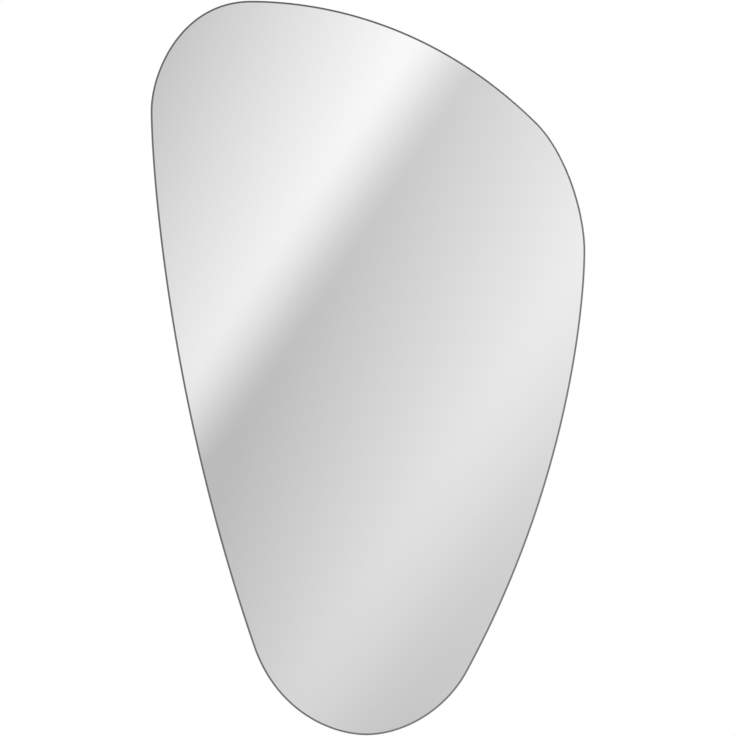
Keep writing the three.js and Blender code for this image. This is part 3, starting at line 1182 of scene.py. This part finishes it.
@dataclass
class Backing:
    """The flat layers behind the pane, which keep the frame's own meshes."""

    tapes: int = 5
    beads: int = 4

    def build(self) -> list[bpy.types.Object]:
        """Dress the layers.

        Returns:
            The layers.
        """
        finishes = {
            BackingPaint(): ["silver_coating"],
            SafetyFilm(): ["safety_film"],
            RawFibreboard(): ["back_board"],
            FoamTape(): [f"foam_tape_{number + 1}" for number in range(self.tapes)],
            CuredAdhesive(): [f"adhesive_bead_{number + 1}" for number in range(self.beads)],
        }
        layers = []
        for finish, nodes in finishes.items():
            material = finish.material()
            for node in nodes:
                dress(frame["nodes"][node], material)
                layers.append(frame["nodes"][node])
        return layers


# ---------------------------------------------------------------- the studio


@dataclass(frozen=True)
class LitPattern(Finish):
    """Light on the card behind the camera, which the mirror shows as soft diagonal bands.

    It is set out as it appears on the glass, in units of 100 mm from the middle of the glass, and
    is enlarged to where the card stands. Two lit fields meet at a soft edge: the first brightens
    towards that edge, the second away from it until it fades again. Outside the part that the
    camera sees in the glass, the card thins out into the surround.
    """

    name: str = "lit_card"
    middle: tuple[float, ...] = (0.0, 0.0, 0.0)  # of the glass
    unit: float = 1.0  # how large 100 mm on the glass are on the card
    patch: tuple[float, float] = (13.5, 12.0)  # half width and height where it has thinned out
    full_within: float = 0.45  # share of the patch that is as bright as it gets
    first_direction: float = math.radians(-24)
    second_direction: float = math.radians(-33.5)
    first_light: tuple[float, float] = (1.126, 0.132)  # at the middle, and gain for each unit
    second_light: tuple[float, float] = (0.628, 0.096)
    fall_along: float = 0.024  # of the second field, for each unit down its own length
    soft_edge: tuple[float, float] = (-2.08, -0.92)  # where it starts and ends
    fade: tuple[float, float] = (1.39, 3.49)  # of the second field
    fade_loss: float = 0.294  # how much light the fade takes
    limits: tuple[float, float] = (0.5, 1.0)  # darkest and brightest that the glass shows
    glass_reflects: float = 0.89

    def shader(self, tree: bpy.types.NodeTree) -> bpy.types.Node:
        """Add the nodes of the pattern.

        Args:
            tree: where they go.

        Returns:
            The shader.
        """
        place = add_node(tree, "TexCoord").outputs["Object"]
        centred = add_node(tree, "VectorMath", {0: place, 1: self.middle}, operation="SUBTRACT")
        in_units = {0: centred, "Scale": 1 / self.unit}
        on_glass = add_node(tree, "VectorMath", in_units, operation="SCALE")
        in_patch = {0: on_glass, 1: (1 / self.patch[0], 0, 1 / self.patch[1])}
        share = add_node(tree, "VectorMath", in_patch, operation="MULTIPLY")
        apart = add_node(tree, "VectorMath", {0: share}, operation="LENGTH")
        directions = (self.first_direction, self.second_direction)
        first_across, across, along = (
            add_node(
                tree,
                "VectorMath",
                {0: on_glass, 1: (math.cos(angle), 0, math.sin(angle))},
                operation="DOT_PRODUCT",
            )
            for angle in (*directions, self.second_direction + QUARTER_TURN)
        )
        edge, fade, thinned = (
            add_node(
                tree,
                "MapRange",
                {"Value": ruler, "From Min": start, "From Max": end},
                interpolation_type="SMOOTHSTEP",
            )
            for ruler, (start, end) in (
                (across, self.soft_edge),
                (across, self.fade),
                (apart, (self.full_within, 1.0)),
            )
        )
        first, second = (
            add_node(tree, "Math", {0: ruler, 1: gain, 2: start}, operation="MULTIPLY_ADD")
            for ruler, (start, gain) in (
                (first_across, self.first_light),
                (across, self.second_light),
            )
        )
        for ruler, gain in ((along, self.fall_along), (fade, -self.fade_loss)):
            sloped = {0: ruler, 1: gain, 2: second}
            second = add_node(tree, "Math", sloped, operation="MULTIPLY_ADD")
        level = add_node(tree, "Mix", {0: edge, 2: first, 3: second}, data_type="FLOAT")
        darkest, brightest = self.limits
        kept = add_node(tree, "Clamp", {"Value": level, "Min": darkest, "Max": brightest})
        strength = add_node(tree, "Math", {0: kept, 1: self.glass_reflects}, operation="DIVIDE")
        light = add_node(tree, "Emission", {"Strength": strength})
        clear = add_node(tree, "BsdfTransparent")
        return add_node(tree, "MixShader", {0: thinned, 1: light, 2: clear})


@dataclass
class ReflectionCard:
    """A large lit card behind the camera."""

    distance: float = 6.0  # from the glass
    camera_distance: float = 4.0
    width: float = 7.0
    height: float = 8.0

    def build(self, middle: Vector, floor_level: float) -> bpy.types.Object:
        """Stand the card up.

        Args:
            middle: middle of the glass.
            floor_level: height of the floor.

        Returns:
            The card.
        """
        shape = rectangle(self.width, self.height)
        rotate(shape, QUARTER_TURN, X_AXIS)
        half_up = floor_level + self.height / 2
        shift(shape, Vector((middle.x, middle.y - self.distance, half_up)))
        card = new_piece("reflection_card", shape)
        card.visible_camera = False
        card.visible_diffuse = False
        card.visible_shadow = False
        unit = 100 * MM * (1 + self.distance / self.camera_distance)
        dress(card, LitPattern(middle=tuple(middle), unit=unit).material())
        return card


@dataclass(frozen=True)
class MattFloor(Finish):
    """Matt pale paint, which thins out into the white surround."""

    name: str = "pale_floor"
    tint: str = "f5f5f4"
    fade: tuple[float, float] = (0.5, 5.5)  # radii where it starts and ends

    def shader(self, tree: bpy.types.NodeTree) -> bpy.types.Node:
        """Add the nodes of the paint.

        Args:
            tree: where they go.

        Returns:
            The shader.
        """
        place = add_node(tree, "TexCoord").outputs["Object"]
        flat = add_node(tree, "VectorMath", {0: place, 1: (1, 1, 0)}, operation="MULTIPLY")
        radius = add_node(tree, "VectorMath", {0: flat}, operation="LENGTH")
        start, end = self.fade
        reach = {"Value": radius, "From Min": start, "From Max": end}
        share = add_node(tree, "MapRange", reach, interpolation_type="SMOOTHSTEP")
        matt = add_node(tree, "BsdfDiffuse", {"Color": srgb(self.tint)})
        clear = add_node(tree, "BsdfTransparent")
        return add_node(tree, "MixShader", {0: share, 1: matt, 2: clear})


@dataclass(frozen=True)
class Softbox:
    """A square soft light that faces the mirror."""

    name: str
    place: tuple[float, float, float]
    size: float
    power: float
    in_gloss: bool  # whether shiny pieces show it

    def hang(self, aim: Vector) -> bpy.types.Object:
        """Hang the light.

        Args:
            aim: the point that it faces.

        Returns:
            The light.
        """
        data = bpy.data.lights.new(self.name, "AREA")
        data.shape = "SQUARE"
        data.size = self.size
        data.energy = self.power
        light = bpy.data.objects.new(self.name, data)
        light.location = self.place
        light.visible_glossy = self.in_gloss
        light.rotation_euler = (aim - light.location).to_track_quat("-Z", "Y").to_euler()
        bpy.context.scene.collection.objects.link(light)
        return light


@dataclass
class Studio:
    """Pale floor, white surround, soft lights and the camera of the photograph."""

    glass_height_px: float = 734.43
    frame_px: float = 736
    camera_distance: float = 4.0
    sensor: float = 36.0
    floor_level: float = -5.0
    floor_radius: float = 6.0
    floor_sides: int = 96
    dome: Tones = ((0.5, "ffffff"), (0.62, "e4e4e5"), (0.8, "bdbec0"))  # by share of the way up
    band_axis: tuple[float, float, float] = (0.83, 0.0, -0.55)  # across the dome's soft bands
    band_spacing: float = 0.38  # on a dome with a radius of 1
    bands: Tones = ((0.0, "d6d6d7"), (0.8, "ffffff"), (1.0, "d6d6d7"))  # across one of them
    band_light: float = 1.1
    flag_direction: tuple[float, float, float] = (0.42, 0.0, 0.907)  # of a dark patch, upper right
    flag_reach: tuple[float, float] = (0.7, 0.96)  # cosines where it starts and is full
    flag_leaves: float = 0.2  # share of the dome's light
    softboxes: tuple[Softbox, ...] = (
        Softbox("front_softbox", (2.6, -2.0, -1.2), 1.4, 50.0, in_gloss=False),
        Softbox("rear_softbox", (2.2, 2.6, 2.0), 1.8, 70.0, in_gloss=True),
    )

    def camera(self, middle: Vector, rim: float) -> bpy.types.Object:
        """Set up the camera, square on.

        Args:
            middle: middle of the glass.
            rim: depth at which the outline is widest.

        Returns:
            The camera.
        """
        data = bpy.data.cameras.new("camera")
        low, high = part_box("mirror_glass")
        seen = (high.z - low.z) * self.frame_px / self.glass_height_px
        data.sensor_fit = "HORIZONTAL"
        data.sensor_width = self.sensor
        data.lens = self.sensor * self.camera_distance / seen
        camera = bpy.data.objects.new("camera", data)
        camera.location = (middle.x, rim - self.camera_distance, middle.z)
        camera.rotation_euler = (QUARTER_TURN, 0, 0)
        bpy.context.scene.collection.objects.link(camera)
        bpy.context.scene.camera = camera
        return camera

    def floor(self) -> bpy.types.Object:
        """Lay the floor.

        Returns:
            The floor.
        """
        shape = bmesh.new()
        bmesh.ops.create_circle(
            shape, cap_ends=True, radius=self.floor_radius, segments=self.floor_sides
        )
        shift(shape, Z_AXIS * self.floor_level)
        floor = new_piece("floor", shape)
        dress(floor, MattFloor().material())
        return floor

    def surround(self) -> None:
        """Make the world: white behind the mirror, a dome with soft bands for what it reflects."""
        world = bpy.data.worlds.new("studio")
        world.use_nodes = True
        tree = world.node_tree
        tree.nodes.clear()
        direction = add_node(tree, "TexCoord").outputs["Generated"]
        height = add_node(tree, "SeparateXYZ", {0: direction}).outputs["Z"]
        share = add_node(tree, "MapRange", {"Value": height, "From Min": -1.0, "From Max": 1.0})
        dome = add_node(tree, "ValToRGB", {"Fac": share}, stops=self.dome)
        across, aside = (
            add_node(tree, "VectorMath", {0: direction, 1: axis}, operation="DOT_PRODUCT")
            for axis in (self.band_axis, self.flag_direction)
        )
        count = add_node(tree, "Math", {0: across, 1: self.band_spacing}, operation="DIVIDE")
        part = add_node(tree, "Math", {0: count}, operation="FRACT")
        bands = add_node(tree, "ValToRGB", {"Fac": part}, stops=self.bands)
        bands.color_ramp.interpolation = "EASE"
        lit = add_node(tree, "Math", {0: bands, 1: self.band_light}, operation="MULTIPLY")
        start, full = self.flag_reach
        reach = {"Value": aside, "From Min": start, "From Max": full}
        reach |= {"To Min": 1.0, "To Max": self.flag_leaves}
        flag = add_node(tree, "MapRange", reach, interpolation_type="SMOOTHSTEP")
        level = add_node(tree, "Math", {0: lit, 1: flag}, operation="MULTIPLY")
        soft = add_node(tree, "Background", {"Color": dome, "Strength": level})
        white = add_node(tree, "Background", {"Color": srgb("ffffff"), "Strength": 1.0})
        seen = add_node(tree, "LightPath").outputs["Is Camera Ray"]
        both = add_node(tree, "MixShader", {0: seen, 1: soft, 2: white})
        add_node(tree, "OutputWorld", {"Surface": both})
        bpy.context.scene.world = world

    def build(self, pane: GlassPane) -> None:
        """Set everything up.

        Args:
            pane: what it is set up around.
        """
        self.camera(pane.middle, pane.low.y + pane.edge_radius)
        self.floor()
        self.surround()
        for softbox in self.softboxes:
            softbox.hang(pane.middle)
        front = Vector((pane.middle.x, pane.low.y, pane.middle.z))
        card = ReflectionCard(camera_distance=self.camera_distance)
        card.build(front, self.floor_level)
        bpy.context.scene.view_settings.view_transform = "Standard"


# ---------------------------------------------------------------- the whole


def report(piece: bpy.types.Object) -> None:
    """Log a piece's name and how many faces it has."""
    LOG.info("%s: %d faces", piece.name, len(piece.data.polygons))


def main() -> None:
    """Build the mirror and its studio, one sub-assembly after the other."""
    pane = GlassPane()
    edge = PolishedGlassEdge(middle=pane.middle.y, half_thickness=(pane.high.y - pane.low.y) / 2)
    Studio().build(pane)
    report(pane.build(SilveredGlass().material(), edge.material()))
    for layer in Backing().build():
        report(layer)

    plate = BrightZinc().material()
    for side in Side:
        hanger = StrapHanger(side)
        report(hanger.strap(plate))
        report(hanger.ring(plate))
    for pair in SCREWS.values():
        for number in pair:
            report(PanHeadScrew(number).build(plate))

    rubber = MouldedRubber().material()
    for number in BUMPERS:
        report(WallBumper(number).build(rubber))


if __name__ == "__main__":
    logging.basicConfig(level=logging.INFO, format="%(message)s")
    main()
